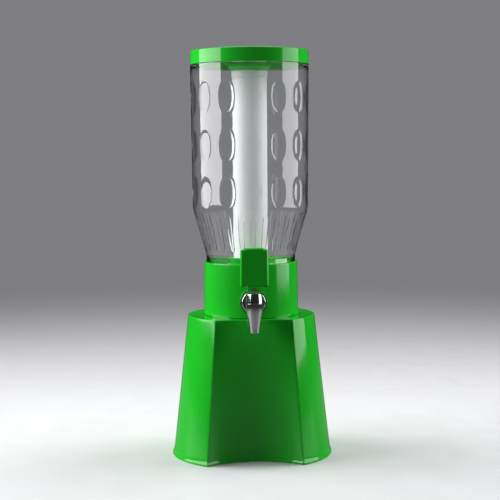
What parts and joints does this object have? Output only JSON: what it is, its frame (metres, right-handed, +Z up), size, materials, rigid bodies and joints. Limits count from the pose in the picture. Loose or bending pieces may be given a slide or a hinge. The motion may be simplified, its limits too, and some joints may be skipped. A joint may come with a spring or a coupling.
{
  "type": "beer tower dispenser",
  "caption": "Table-top drink tower: flared stand with a glass bay, clear dimpled vessel, lid with a hanging ice tube, and a lever tap at the foot of the vessel.",
  "frame": {"origin": "on the table, at the centre of the stand's round foot, under the tower's axis", "axes": "+Z up along the tower's axis; -Y towards the tap and the person who pours; +X to that person's right"},
  "size_m": [0.1996, 0.1919, 0.5],
  "materials": {
    "stand_green": "high gloss moulded",
    "housing_green": "high gloss moulded",
    "lid_green": "high gloss moulded",
    "tap_green": "gloss moulded",
    "chrome_plate": "bright chrome on moulded plastic",
    "clear_plastic": "clear polished",
    "frosted_plastic": "frosted translucent",
    "silicone": "translucent white silicone",
    "black_rubber": "matte",
    "black_nylon": "moulded",
    "stainless": "turned"
  },
  "bodies": {
    "stand": {"base_stand": "stand_green"},
    "tower": {"tap_housing": "housing_green", "vessel_seal": "silicone", "tap_body": "chrome_plate", "front_washer": "black_rubber", "rear_washer": "black_rubber", "shank_nut": "black_nylon", "tap_bonnet": "chrome_plate", "stem_seal": "silicone", "valve_spring": "stainless"},
    "tank": {"vessel": "clear_plastic"},
    "cover": {"lid": "lid_green", "lid_seal": "silicone", "ice_tube_seal": "silicone"},
    "ice": {"ice_tube": "frosted_plastic"},
    "plunger": {"valve_stem": "stainless", "seat_cup": "silicone", "handle_pin": "stainless"},
    "lever": {"tap_handle": "tap_green"}
  },
  "joints": [
    {"name": "tower_lift", "type": "slide", "parent": "stand", "child": "tower", "axis": [0, 0, 1], "range_m": [0, 0.04]},
    {"name": "tank_turn", "type": "hinge", "parent": "tower", "child": "tank", "pos_m": [0, 0, 0.236], "axis": [0, 0, 1], "range_deg": [0, 60]},
    {"name": "cover_lift", "type": "slide", "parent": "tank", "child": "cover", "axis": [0, 0, 1], "range_m": [0, 0.27]},
    {"name": "ice_turn", "type": "hinge", "parent": "cover", "child": "ice", "pos_m": [0, 0, 0.476], "axis": [0, 0, 1], "range_deg": [0, 60]},
    {"name": "valve_lift", "type": "slide", "parent": "tower", "child": "plunger", "axis": [0, 0, 1], "range_m": [0, 0.0022], "stiffness_N_per_m": 1400, "springref_m": -0.001, "deforming": ["valve_spring"]},
    {"name": "handle_pull", "type": "hinge", "parent": "plunger", "child": "lever", "pos_m": [0, -0.082, 0.2125], "axis": [1, 0, 0], "range_deg": [0, 35]}
  ],
  "couplings": [
    {"joint": "handle_pull", "follows": "valve_lift", "rad_per_m": 277.6}
  ]
}
